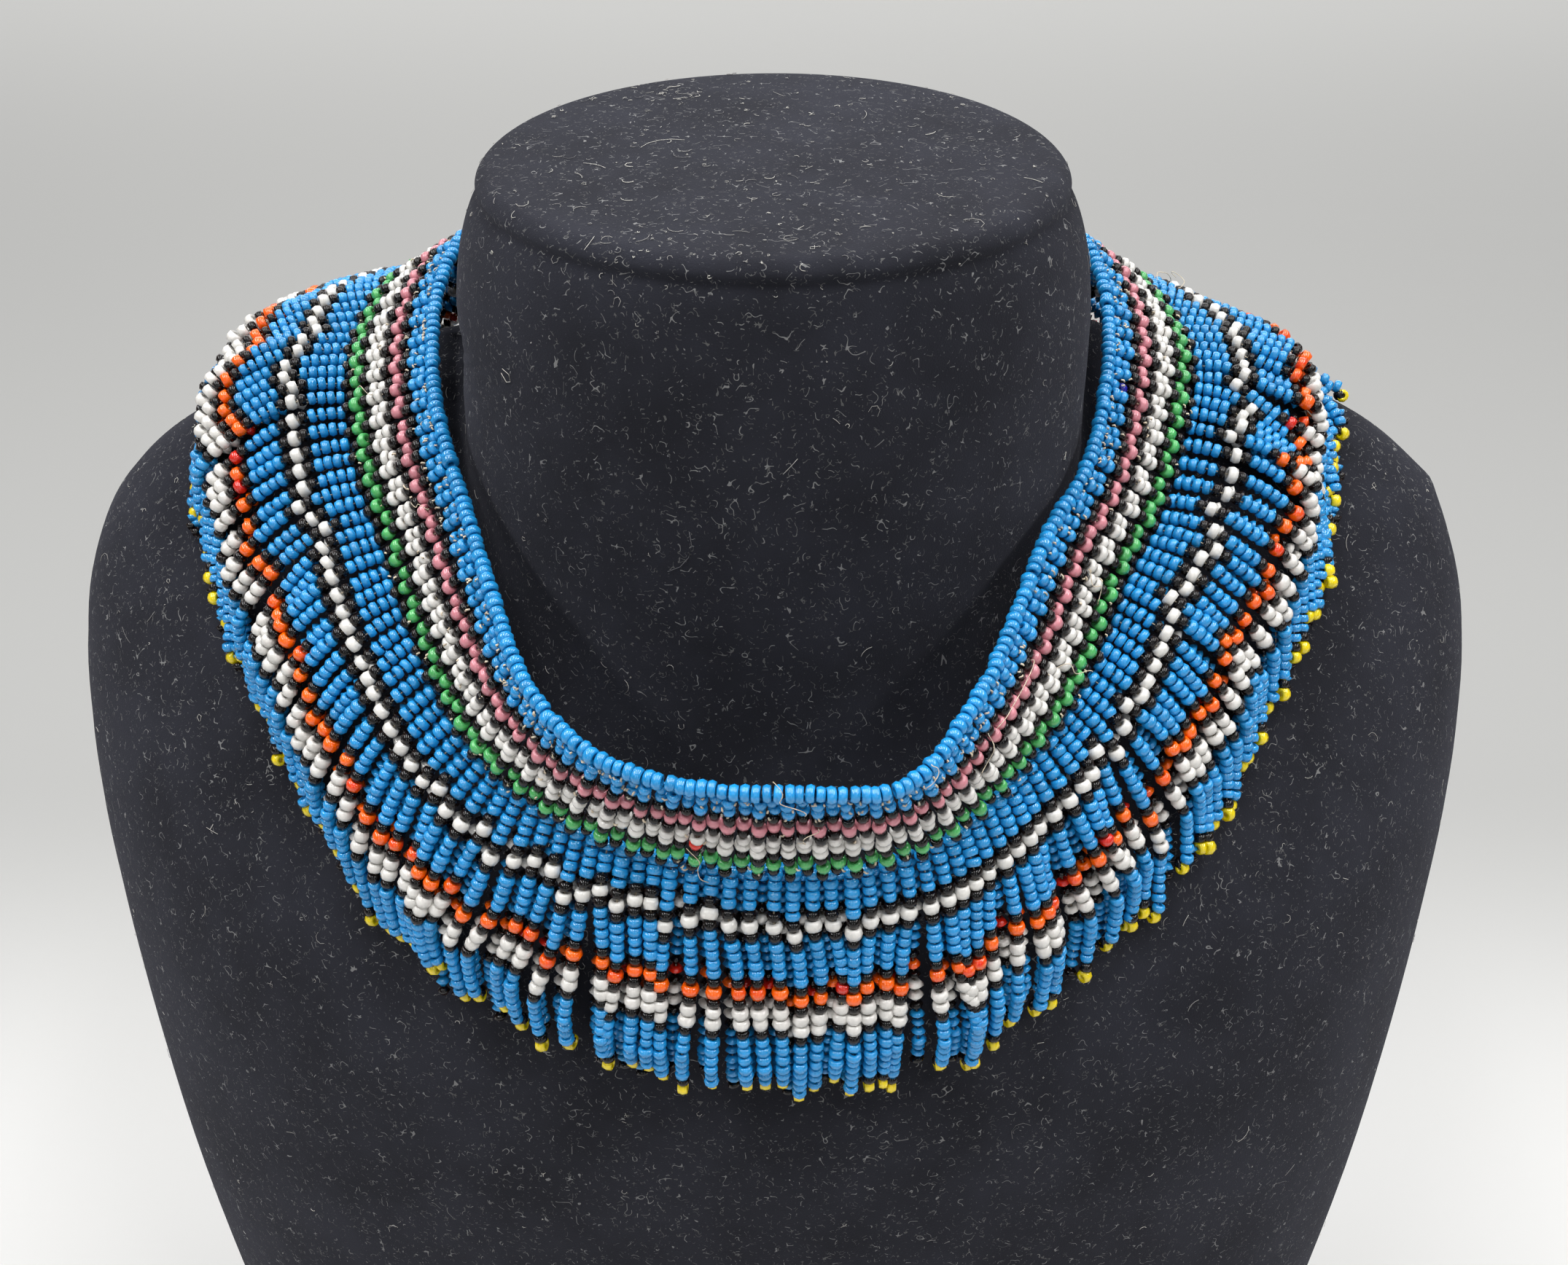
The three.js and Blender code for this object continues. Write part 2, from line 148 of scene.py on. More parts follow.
def guide_at(name, t):
    """Points of a guide at the shares t, on a centripetal spline through its points."""
    points = GUIDES[name]
    last = len(points) - 1
    x = np.clip(np.asarray(t, float), 0, 1) * last
    i = np.minimum(x.astype(int), last - 1)
    w = (x - i)[..., None]
    padded = np.vstack([2 * points[0] - points[1], points, 2 * points[-1] - points[-2]])
    x0, x1, x2, x3 = (padded[i + k] for k in range(4))
    d0, d1, d2 = (
        np.sqrt(np.linalg.norm(b - a, axis=-1, keepdims=True))
        for a, b in ((x0, x1), (x1, x2), (x2, x3))
    )
    t1 = ((x1 - x0) / d0 - (x2 - x0) / (d0 + d1) + (x2 - x1) / d1) * d1
    t2 = ((x2 - x1) / d1 - (x3 - x1) / (d1 + d2) + (x3 - x2) / d2) * d1
    c2 = -3 * x1 + 3 * x2 - 2 * t1 - t2
    c3 = 2 * x1 - 2 * x2 + t1 + t2
    return x1 + w * (t1 + w * (c2 + w * c3))


def rim_table():
    """Running length of the rim against the share of its route."""
    t = np.linspace(0, 1, 201)
    steps = np.linalg.norm(np.diff(guide_at("rim", t), axis=0), axis=1)
    return t, np.concatenate([[0], np.cumsum(steps)])


RIM_T, RIM_RUN = rim_table()
RIM_LENGTH = float(RIM_RUN[-1])


def stretch(u):
    """Share of the route where the rim has run the share u of its free length."""
    slit = END_SLIT / RIM_LENGTH
    run = (slit + np.asarray(u, float) * (1 - 2 * slit)) * RIM_LENGTH
    return np.interp(run, RIM_RUN, RIM_T)


def unit(v):
    return v / np.maximum(np.linalg.norm(v, axis=-1, keepdims=True), 1e-9)


def band_point(u, s):
    """Point of the woven band, s millimetres out from its rim."""
    t = stretch(u)
    rim = guide_at("rim", t)
    return rim + unit(guide_at("band", t) - rim) * np.asarray(s, float)[..., None]


def strand_point(u, s):
    """Point of the fringe, s from 0 at the band to 1 at the tips."""
    t = stretch(u)
    s = np.asarray(s, float)[..., None]
    start = band_point(u, np.full(np.shape(t), BAND_W))
    q = 1 - s
    return start * q * q + guide_at("bow", t) * 2 * q * s + guide_at("tip", t) * s * s


def outward(point, u, s, step):
    """Unit normal of the band or fringe, away from the bust."""
    u, s = np.asarray(u, float), np.asarray(s, float)
    along = point(np.minimum(u + 0.004, 1), s) - point(np.maximum(u - 0.004, 0), s)
    across = point(u, s + step) - point(u, s - step)
    return unit(np.cross(across, along))


# Meshes from arrays.

def bead_shape(sides, ring):
    """Corners and faces of a drilled bead one wide and one long, its hole along Z."""
    bm = bmesh.new()
    corners = [bm.verts.new((r, 0, z)) for r, z in ring]
    edges = [bm.edges.new((corners[i - 1], corners[i])) for i in range(len(corners))]
    bmesh.ops.spin(
        bm, geom=corners + edges, cent=(0, 0, 0), axis=(0, 0, 1), dvec=(0, 0, 0),
        angle=TURN, steps=sides, use_merge=True, use_normal_flip=False, use_duplicate=False,
    )
    bmesh.ops.remove_doubles(bm, verts=bm.verts, dist=1e-5)
    bmesh.ops.recalc_face_normals(bm, faces=bm.faces)
    bm.verts.ensure_lookup_table()
    co = np.array([v.co for v in bm.verts])
    quads = np.array([[v.index for v in f.verts] for f in bm.faces])
    bm.free()
    return co, quads


def array_mesh(name, co, quads, tones=None, slots=None):
    """A smooth mesh object of many small joined shapes, from corner and face arrays."""
    mesh = bpy.data.meshes.new(name)
    mesh.vertices.add(len(co))
    mesh.vertices.foreach_set("co", (co * MM).astype(np.float32).ravel())
    mesh.loops.add(quads.size)
    mesh.loops.foreach_set("vertex_index", quads.astype(np.int32).ravel())
    mesh.polygons.add(len(quads))
    mesh.polygons.foreach_set("loop_start", np.arange(0, quads.size, 4, dtype=np.int32))
    if slots is not None:
        mesh.polygons.foreach_set("material_index", slots.astype(np.int32))
    mesh.update(calc_edges=True)
    mesh.validate()
    mesh.shade_smooth()
    if tones is not None:
        tone = mesh.attributes.new("tone", "FLOAT", "POINT")
        tone.data.foreach_set("value", tones.astype(np.float32))
    piece = bpy.data.objects.new(name, mesh)
    bpy.context.scene.collection.objects.link(piece)
    return piece


def side_frames(axes, roll):
    """Two unit vectors across each axis, turned by roll."""
    helper = np.where(np.abs(axes[..., 2:3]) < 0.9, [[0.0, 0.0, 1.0]], [[1.0, 0.0, 0.0]])
    side = unit(np.cross(axes, helper))
    up = np.cross(axes, side)
    c, s = np.cos(roll)[..., None], np.sin(roll)[..., None]
    return side * c + up * s, up * c - side * s


class Beads:
    """Beads gathered piece by piece: centres, hole directions, sizes and kinds."""

    def __init__(self):
        self.rows = []

    def add(self, centres, axes, kinds, sizes=None):
        sizes = sizes or [BEAD_SIZE[kind] for kind in kinds]
        for centre, axis, kind, (wide, long) in zip(centres, axes, kinds, sizes):
            self.rows.append((*centre, *axis, wide, long, KINDS.index(kind)))

    def build(self, name, shape, materials, seed, uneven=0.06, lean=0.07):
        """One joined mesh of all the beads, each a little uneven and tilted."""
        rows = np.array(self.rows)
        rng = np.random.default_rng(seed)
        count = len(rows)
        axes = unit(unit(rows[:, 3:6]) + rng.normal(0, lean, (count, 3)))
        side, up = side_frames(axes, rng.uniform(0, TURN, count))
        wide = rows[:, 6] * (1 + rng.normal(0, uneven, count).clip(-0.13, 0.13))
        long = rows[:, 7] * (1 + rng.normal(0, uneven, count).clip(-0.12, 0.16))
        co, quads = shape
        x, y, z = (co[None, :, k, None] for k in range(3))
        points = rows[:, None, 0:3] + (
            x * side[:, None] * wide[:, None, None]
            + y * up[:, None] * wide[:, None, None]
            + z * axes[:, None] * long[:, None, None]
        )
        faces = quads[None] + (np.arange(count) * len(co))[:, None, None]
        piece = array_mesh(
            name, points.reshape(-1, 3), faces.reshape(-1, 4),
            tones=np.repeat(rng.uniform(0, 1, count), len(co)),
            slots=np.repeat(rows[:, 8], len(quads)),
        )
        for material in materials:
            piece.data.materials.append(material)
        return piece


def tube_arrays(paths, radius, sides=4):
    """Corners and faces of closed thin tubes along paths, an array (tube, point, 3)."""
    count, points = paths.shape[:2]
    along = unit(np.gradient(paths, axis=1))
    side, up = side_frames(along, np.zeros(paths.shape[:2]))
    turn = np.arange(sides) * TURN / sides
    radius = np.broadcast_to(radius, (count, points))[..., None, None]
    ring = paths[:, :, None] + radius * (
        np.cos(turn)[:, None] * side[:, :, None] + np.sin(turn)[:, None] * up[:, :, None]
    )
    first = np.arange(count)[:, None, None] * points * sides
    p = np.arange(points - 1)[None, :, None] * sides
    k = np.arange(sides)[None, None, :]
    n = (k + 1) % sides
    walls = np.stack(
        [first + p + k, first + p + n, first + p + sides + n, first + p + sides + k], -1
    )
    ends = first[:, 0, 0, None]
    caps = np.concatenate([
        ends + np.arange(sides)[None, ::-1], ends + (points - 1) * sides + np.arange(sides)[None],
    ])
    return ring.reshape(-1, 3), np.concatenate([walls.reshape(-1, 4), caps])


# Materials.

def linear(colour):
    """Scene-linear RGBA from sRGB shares."""
    return (*[c / 12.92 if c <= 0.04045 else ((c + 0.055) / 1.055) ** 2.4 for c in colour], 1.0)


def new_material(name):
    """A material with its node tree and shader."""
    material = bpy.data.materials.new(name)
    material.use_nodes = True
    tree = material.node_tree
    return material, tree, tree.nodes["Principled BSDF"]


def tune(made, **sockets):
    """Sets the sockets of a node, named with underscores for spaces."""
    for key, value in sockets.items():
        made.inputs[key.replace("_", " ")].default_value = value


def node(tree, kind, **settings):
    """A new node: settings with a leading capital are its sockets, others its attributes."""
    made = tree.nodes.new(kind)
    for key, value in settings.items():
        if key[0].isupper():
            tune(made, **{key: value})
        else:
            setattr(made, key, value)
    return made


def speckle_group():
    """Node group: a soft mottle of two colours and a fine grain height."""
    name = "uneven_surface"
    if name in bpy.data.node_groups:
        return bpy.data.node_groups[name]
    group = bpy.data.node_groups.new(name, "ShaderNodeTree")
    face = group.interface
    face.new_socket("Colour", in_out="INPUT", socket_type="NodeSocketColor")
    face.new_socket("Other Colour", in_out="INPUT", socket_type="NodeSocketColor")
    for label, value in (("Scale", 400.0), ("Grain", 2000.0)):
        face.new_socket(label, in_out="INPUT", socket_type="NodeSocketFloat").default_value = value
    face.new_socket("Mixed", in_out="OUTPUT", socket_type="NodeSocketColor")
    face.new_socket("Height", in_out="OUTPUT", socket_type="NodeSocketFloat")
    enter, leave = node(group, "NodeGroupInput"), node(group, "NodeGroupOutput")
    place = node(group, "ShaderNodeTexCoord")
    mottle = node(group, "ShaderNodeTexNoise", Detail=3.0, Roughness=0.6)
    grain = node(group, "ShaderNodeTexNoise", Detail=2.0, Roughness=0.7)
    mix = node(group, "ShaderNodeMix", data_type="RGBA")
    spread = node(group, "ShaderNodeMapRange", From_Min=0.35, From_Max=0.65)
    link = group.links.new
    for texture, label in ((mottle, "Scale"), (grain, "Grain")):
        link(place.outputs["Object"], texture.inputs["Vector"])
        link(enter.outputs[label], texture.inputs["Scale"])
    link(mottle.outputs["Fac"], spread.inputs["Value"])
    link(spread.outputs["Result"], mix.inputs["Factor"])
    link(enter.outputs["Colour"], mix.inputs["A"])
    link(enter.outputs["Other Colour"], mix.inputs["B"])
    link(mix.outputs["Result"], leave.inputs["Mixed"])
    link(grain.outputs["Fac"], leave.inputs["Height"])
    return group


def uneven_skin(tree, **sockets):
    """The group of mottle and grain as a node of a material."""
    return node(tree, "ShaderNodeGroup", node_tree=speckle_group(), **sockets)


def add_bump(tree, shader, height, strength, distance):
    """Bends the shader's normal by a height."""
    bump = node(tree, "ShaderNodeBump", Strength=strength, Distance=distance)
    tree.links.new(height, bump.inputs["Height"])
    tree.links.new(bump.outputs["Normal"], shader.inputs["Normal"])


def glass_material(name, colour, deep, roughness, coat, mirror, rim):
    """Bead glass: a tone for each bead, a soft mottle, an uneven skin and a rim colour or none."""
    material, tree, shader = new_material(name)
    link = tree.links.new
    tone = node(tree, "ShaderNodeAttribute", attribute_name="tone")
    rare = node(tree, "ShaderNodeMath", operation="POWER")
    rare.inputs[1].default_value = 3.0
    link(tone.outputs["Fac"], rare.inputs[0])
    ends = node(tree, "ShaderNodeMix", data_type="RGBA", A=linear(colour), B=linear(deep))
    link(rare.outputs["Value"], ends.inputs["Factor"])
    skin = uneven_skin(
        tree, Other_Colour=linear([c * 0.9 for c in colour]), Scale=700.0, Grain=1500.0
    )
    link(ends.outputs["Result"], skin.inputs["Colour"])
    last = skin.outputs["Mixed"]
    if rim is not None:
        edge = node(tree, "ShaderNodeLayerWeight", Blend=0.12)
        warm = node(tree, "ShaderNodeMix", data_type="RGBA", B=linear(rim))
        link(edge.outputs["Facing"], warm.inputs["Factor"])
        link(last, warm.inputs["A"])
        last = warm.outputs["Result"]
    link(last, shader.inputs["Base Color"])
    add_bump(tree, shader, skin.outputs["Height"], 0.08, 0.0001)
    tune(
        shader, Roughness=roughness, IOR=1.52, Specular_IOR_Level=mirror, Coat_Weight=coat,
        Coat_Roughness=0.06,
    )
    return material


# Roughness, coat, mirror level and rim colour of the opaque glass, and of the clearer black.
OPAQUE = (0.2, 0.45, 0.5, None)
CLEAR_BLACK = (0.06, 0.0, 0.33, (0.22, 0.14, 0.11))


def bead_materials():
    """The bead glasses in the order of KINDS."""
    colours = bpy.context.scene.collar_colours
    made = []
    for kind in KINDS:
        name = kind + "_glass"
        if name not in bpy.data.materials:
            colour = list(getattr(colours, kind))
            deep = [c * (0.82 if kind != "white" else 0.93) for c in colour]
            if kind == "orange":
                deep = list(colours.red)
            glass_material(name, colour, deep, *(CLEAR_BLACK if kind == "black" else OPAQUE))
        made.append(bpy.data.materials[name])
    return made


def thread_material():
    """Waxed cotton thread, cream and a little mottled."""
    if "cream_thread" in bpy.data.materials:
        return bpy.data.materials["cream_thread"]
    material, tree, shader = new_material("cream_thread")
    colour = list(bpy.context.scene.collar_colours.thread)
    darker = linear([c * 0.75 for c in colour])
    skin = uneven_skin(tree, Colour=linear(colour), Other_Colour=darker, Scale=900.0)
    tree.links.new(skin.outputs["Mixed"], shader.inputs["Base Color"])
    add_bump(tree, shader, skin.outputs["Height"], 0.3, 0.0001)
    tune(shader, Roughness=0.6)
    return material


def fibre_mask(tree, place, curl, thin, spots, low):
    """Mask of short curled fibres: a level line of one noise, kept in the spots of another."""
    masks = []
    for scale, operation, values in (
        (curl, "COMPARE", (0.5, thin)), (spots, "GREATER_THAN", (low,)),
    ):
        noise = node(tree, "ShaderNodeTexNoise", Scale=scale, Detail=0.0)
        tree.links.new(place.outputs["Object"], noise.inputs["Vector"])
        test = node(tree, "ShaderNodeMath", operation=operation)
        tree.links.new(noise.outputs["Fac"], test.inputs[0])
        for i, value in enumerate(values):
            test.inputs[1 + i].default_value = value
        masks.append(test)
    both = node(tree, "ShaderNodeMath", operation="MULTIPLY")
    for i, mask in enumerate(masks):
        tree.links.new(mask.outputs["Value"], both.inputs[i])
    return both


def velvet_material():
    """Black pile: brushed patches, fine nap, soft sheen, pale dust and short curled fibres."""
    material, tree, shader = new_material("black_velvet")
    link = tree.links.new
    colour = list(bpy.context.scene.collar_colours.velvet)
    place = node(tree, "ShaderNodeTexCoord")
    lighter = linear([c * 1.35 for c in colour])
    skin = uneven_skin(
        tree, Colour=linear(colour), Other_Colour=lighter, Scale=45.0, Grain=3600.0
    )
    last = skin.outputs["Mixed"]
    for scale, low, high, pale in ((2600.0, 0.71, 0.78, 0.3), (1500.0, 0.75, 0.79, 0.36)):
        dust = node(tree, "ShaderNodeTexNoise", Scale=scale, Detail=1.0)
        link(place.outputs["Object"], dust.inputs["Vector"])
        specks = node(tree, "ShaderNodeMapRange", From_Min=low, From_Max=high)
        link(dust.outputs["Fac"], specks.inputs["Value"])
        grey = linear((pale, pale, pale * 1.03))
        dusty = node(tree, "ShaderNodeMix", data_type="RGBA", B=grey)
        link(specks.outputs["Result"], dusty.inputs["Factor"])
        link(last, dusty.inputs["A"])
        last = dusty.outputs["Result"]
    for curl, thin, spots, low, pale in (
        (1150.0, 0.026, 900.0, 0.625, 0.3), (640.0, 0.019, 520.0, 0.66, 0.42),
    ):
        fibres = fibre_mask(tree, place, curl, thin, spots, low)
        hairy = node(tree, "ShaderNodeMix", data_type="RGBA", B=linear((pale, pale, pale)))
        link(fibres.outputs["Value"], hairy.inputs["Factor"])
        link(last, hairy.inputs["A"])
        last = hairy.outputs["Result"]
    link(last, shader.inputs["Base Color"])
    add_bump(tree, shader, skin.outputs["Height"], 0.5, 0.0002)
    tune(
        shader, Roughness=1.0, Specular_IOR_Level=0.05, Sheen_Weight=0.07, Sheen_Roughness=0.6,
        Sheen_Tint=linear((0.8, 0.8, 0.86)),
    )
    return material


def lint_material():
    """Pale fibres, each of its own grey."""
    material, tree, shader = new_material("pale_lint")
    tone = node(tree, "ShaderNodeAttribute", attribute_name="tone")
    grey, pale = linear((0.3, 0.3, 0.32)), linear((0.74, 0.73, 0.7))
    mix = node(tree, "ShaderNodeMix", data_type="RGBA", A=grey, B=pale)
    tree.links.new(tone.outputs["Fac"], mix.inputs["Factor"])
    tree.links.new(mix.outputs["Result"], shader.inputs["Base Color"])
    tune(shader, Roughness=0.8)
    return material


def floor_material():
    """Pale matt floor whose colour darkens a little from the bust to the back: painted shade
    standing in for the lamps' light falling off.
    """
    material, tree, shader = new_material("pale_floor")
    colours = bpy.context.scene.collar_colours
    place = node(tree, "ShaderNodeTexCoord")
    split = node(tree, "ShaderNodeSeparateXYZ")
    # Painted shade: the floor colour blends from the near tone to the darker far tone behind the
    # bust, as if the light fell off there.
    painted_falloff = node(
        tree, "ShaderNodeMapRange", interpolation_type="SMOOTHSTEP", From_Min=0.02, From_Max=0.27
    )
    near, far = linear(list(colours.floor_near)), linear(list(colours.floor_far_painted_shade))
    tone = node(tree, "ShaderNodeMix", data_type="RGBA", A=near, B=far)
    tree.links.new(place.outputs["Object"], split.inputs["Vector"])
    tree.links.new(split.outputs["Y"], painted_falloff.inputs["Value"])
    tree.links.new(painted_falloff.outputs["Result"], tone.inputs["Factor"])
    tree.links.new(tone.outputs["Result"], shader.inputs["Base Color"])
    tune(shader, Roughness=0.9, Specular_IOR_Level=0.1)
    return material


def tape_material():
    """Dark blue cotton tape: crossing waves of yarn in the normal and a faint mottle."""
    material, tree, shader = new_material("cotton_tape")
    link = tree.links.new
    colour = list(bpy.context.scene.collar_colours.tape)
    darker = linear([c * 0.7 for c in colour])
    skin = uneven_skin(tree, Colour=linear(colour), Other_Colour=darker, Scale=600.0)
    link(skin.outputs["Mixed"], shader.inputs["Base Color"])
    place = node(tree, "ShaderNodeTexCoord")
    weave = node(tree, "ShaderNodeMath", operation="MAXIMUM")
    for i, direction in enumerate("XZ"):
        yarn = node(tree, "ShaderNodeTexWave", bands_direction=direction, Scale=420.0)
        link(place.outputs["Object"], yarn.inputs["Vector"])
        link(yarn.outputs["Fac"], weave.inputs[i])
    add_bump(tree, shader, weave.outputs["Value"], 0.6, 0.0003)
    tune(shader, Roughness=0.9)
    return material


# Sizes and colours.

def colour_property(name, default, text):
    return FloatVectorProperty(
        name=name, description=text, default=default, subtype="COLOR", min=0, max=1
    )


class CollarSizes(bpy.types.PropertyGroup):
    """Sizes and counts that shape the beadwork."""

    column_pitch: FloatProperty(
        name="Column pitch", description="Spacing of the band's bead columns along the rim",
        default=2.51 * MM, min=1 * MM, max=6 * MM, unit="LENGTH", precision=5)
    rim_pitch: FloatProperty(
        name="Rim pitch", description="Spacing of the beads along the rolled rim",
        default=1.74 * MM, min=1 * MM, max=6 * MM, unit="LENGTH", precision=5)
    strands: IntProperty(
        name="Strands", description="Front legs of the looped strands, each with a back leg",
        default=164, min=20, max=400)
    lint: IntProperty(
        name="Lint", description="Fibres of lint that stick to the velvet",
        default=1300, min=0, max=8000)


class CollarColours(bpy.types.PropertyGroup):
    """Colours of the glass, thread, cloth and floor, in sRGB shares."""

    blue: colour_property("Blue glass", (0.12, 0.57, 0.83), "Main blue beads")
    black: colour_property("Black glass", (0.025, 0.025, 0.03), "Black beads")
    white: colour_property("White glass", (0.86, 0.85, 0.83), "White beads")
    pink: colour_property("Pink glass", (0.82, 0.52, 0.56), "Pink beads")
    green: colour_property("Green glass", (0.3, 0.68, 0.37), "Green beads")
    orange: colour_property("Orange glass", (1.0, 0.4, 0.01), "Orange beads")
    yellow: colour_property("Yellow glass", (0.93, 0.83, 0.01), "Yellow tip beads")
    red: colour_property("Red glass", (0.85, 0.13, 0.05), "Odd red beads")
    cobalt: colour_property("Cobalt glass", (0.1, 0.1, 0.6), "Odd dark blue bead")
    thread: colour_property("Thread", (0.84, 0.78, 0.68), "Beading thread")
    tape: colour_property("Tape", (0.1, 0.16, 0.3), "Closure tape at the back")
    velvet: colour_property("Velvet", (0.103, 0.106, 0.124), "Black velvet pile")
    floor_near: colour_property("Near floor", (0.78, 0.778, 0.773), "Floor round the bust")
    # The far floor colour is painted shade: darker than the near colour to stand for the light
    # falling off behind the bust.
    floor_far_painted_shade: colour_property("Far floor", (0.614, 0.613, 0.607), "Floor behind the bust")


# Operators.

def bust_tree():
    """Nearest-point tree of the velvet bust, in metres."""
    piece = bpy.data.objects.get("velvet_bust")
    if piece is None:
        raise RuntimeError("make the bust before the beadwork")
    mesh = piece.data
    return BVHTree.FromPolygons(
        [v.co for v in mesh.vertices], [tuple(p.vertices) for p in mesh.polygons]
    )


def merged_copy(node_name, face_angle):
    """A bmesh of a CAD node with its doubles merged and its flatter triangles joined."""
    bm = bmesh.new()
    bm.from_mesh(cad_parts[node_name].data)
    bmesh.ops.remove_doubles(bm, verts=bm.verts, dist=1e-5)
    bmesh.ops.join_triangles(
        bm, faces=bm.faces, angle_face_threshold=math.radians(face_angle),
        angle_shape_threshold=math.radians(60),
    )
    return bm


def linked_piece(bm, name):
    """An object in the scene with the bmesh's faces."""
    mesh = bpy.data.meshes.new(name)
    bm.to_mesh(mesh)
    bm.free()
    piece = bpy.data.objects.new(name, mesh)
    bpy.context.scene.collection.objects.link(piece)
    return piece


def finish_piece(piece, slot, *nodes):
    """Ties a piece to the body, in place of the CAD nodes named. The slot argument is not used."""
    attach(piece, "root")
    if nodes:
        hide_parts(*nodes)


class COLLAR_OT_bust(bpy.types.Operator):
    """Covers the neck bust with one smooth velvet skin"""

    bl_idname = "collar.bust"
    bl_label = "Velvet bust"

    def execute(self, context):
        piece = linked_piece(merged_copy("neck_bust", 50), "velvet_bust")
        rounding = piece.modifiers.new("rounding", "SUBSURF")
        rounding.levels = rounding.render_levels = 2
        context.view_layer.update()
        graph = context.evaluated_depsgraph_get()
        final = bpy.data.meshes.new_from_object(piece.evaluated_get(graph))
        piece.modifiers.clear()
        piece.data = final
        final.name = "velvet_bust"
        final.shade_smooth()
        final.materials.clear()
        final.materials.append(velvet_material())
        finish_piece(piece, "neck_bust", "neck_bust")
        return {"FINISHED"}


def thread_piece(name, paths, radius, slot):
    """A joined mesh of closed threads along paths, an array (thread, point, 3)."""
    co, quads = tube_arrays(np.asarray(paths), radius)
    piece = array_mesh(name, co, quads)
    piece.data.materials.append(thread_material())
    finish_piece(piece, slot)
    return piece


def along_band(u, s):
    """Direction of the rim at points of the band."""
    return band_point(np.minimum(u + 0.003, 1), s) - band_point(np.maximum(u - 0.003, 0), s)


def crowd(share, much):
    """Share of the rim for a share of a row's beads, which sit closer at the front."""
    return share - much * np.sin(2 * TURN * share) / (2 * TURN)


class COLLAR_OT_rim(bpy.types.Operator):
    """Strings the rolled rim of blue beads, their holes along the edge"""

    bl_idname = "collar.rim"
    bl_label = "Rolled rim"

    def execute(self, context):
        sizes = context.scene.collar_sizes
        free = RIM_LENGTH - 2 * END_SLIT
        count = round(free * MM / sizes.rim_pitch)
        rng = np.random.default_rng(3)
        u = crowd((np.arange(count) + 0.5 + rng.normal(0, 0.05, count)) / count, RIM_CROWD)
        zero = np.zeros(count)
        centres = band_point(u, zero) + rng.normal(0, 0.1, (count, 3))
        beads = Beads()
        beads.add(centres, along_band(u, zero), ["blue"] * count, [RIM_SIZE] * count)
        piece = beads.build("rim_beads", bead_shape(12, FULL_RING), bead_materials(), seed=11)
        finish_piece(piece, "rolled_edge", "rolled_edge")
        return {"FINISHED"}


class COLLAR_OT_band(bpy.types.Operator):
    """Weaves the band: columns of beads with their holes pointing out from the rim"""

    bl_idname = "collar.band"
    bl_label = "Woven band"

    def execute(self, context):
        sizes = context.scene.collar_sizes
        free = RIM_LENGTH - 2 * END_SLIT
        count = round(free * MM / sizes.column_pitch)
        rng = np.random.default_rng(5)
        lengths = np.array(COLUMN_LONG)
        start = RIM_SIZE[0] / 2 - 0.3
        scale = (BAND_W - start) / lengths.sum()
        run = start + (np.cumsum(lengths) - lengths / 2) * scale
        bead_sizes = [(wide, long * 1.04) for wide, long in zip(COLUMN_WIDE, lengths)]
        odd = {(round(0.759 * count), 1): "cobalt", (round(0.474 * count), 6): "red"}
        beads, threads = Beads(), []
        for i in range(count):
            sign = 1 if i % 2 else -1
            slide = sign * COLUMN_SLIDE * np.linspace(0.3, 1, len(run))
            s = run + slide + rng.normal(0, 0.07, len(run))
            u = crowd((i + 0.5 + rng.normal(0, 0.05, len(run))) / count, BAND_CROWD).clip(0, 1)
            shrink = 1 - FRONT_SHRINK * math.exp(-(((u[0] - 0.5) / 0.14) ** 2))
            ripple = sign * COLUMN_RIPPLE + rng.normal(0, 0.1, len(run))
            centres = band_point(u, s) + outward(band_point, u, s, 1.0) * ripple[:, None]
            axes = band_point(u, s + 0.5) - band_point(u, s - 0.5)
            kinds = [odd.get((i, row), kind) for row, kind in enumerate(COLUMN)]
            beads.add(centres, axes, kinds, [(wide * shrink, long) for wide, long in bead_sizes])
            threads.append(centres[[0, 3, 6, 9]])
        piece = beads.build("band_beads", bead_shape(10, FULL_RING), bead_materials(), seed=12)
        finish_piece(piece, "woven_band", "woven_band")
        thread_piece("band_threads", threads, 0.14, "woven_band")
        return {"FINISHED"}


def strand_kinds(rng, under):
    """Bead kinds of one leg, top to bottom, with the odd bead more or less."""
    kinds = []
    for kind, count in STRAND:
        if kind == "blue":
            count += int(rng.choice([-1, 0, 0, 0, 0, 0, 1]))
        if kind == "orange" and rng.uniform() < (0.35 if under else 0.04):
            kind = "red"
        kinds += [kind] * count
    return kinds


def spread_strands(count):
    """Shares of the rim from which the strands hang, even between band edge and tips."""
    u = np.linspace(0, 1, 2001)
    run = 0
    for s, weight in ((0.0, 0.45), (1.0, 0.55)):
        line = strand_point(u, np.full(u.shape, s))
        gaps = np.linalg.norm(np.diff(line, axis=0), axis=1)
        run = run + weight * np.concatenate([[0], np.cumsum(gaps)])
    return np.interp((np.arange(count) + 0.5) / count * run[-1], run, u)


def wave(rng, count, reach):
    """Smooth random numbers about one high that turn every few strands."""
    window = np.hanning(2 * reach + 1)
    raw = rng.normal(0, 1, count + 2 * reach)
    return np.convolve(raw, window / np.sqrt((window ** 2).sum()), "valid")[:count]


def ease(x, low, high):
    """Smooth step from 0 at low to 1 at high."""
    x = np.clip((x - low) / (high - low), 0, 1)
    return x * x * (3 - 2 * x)


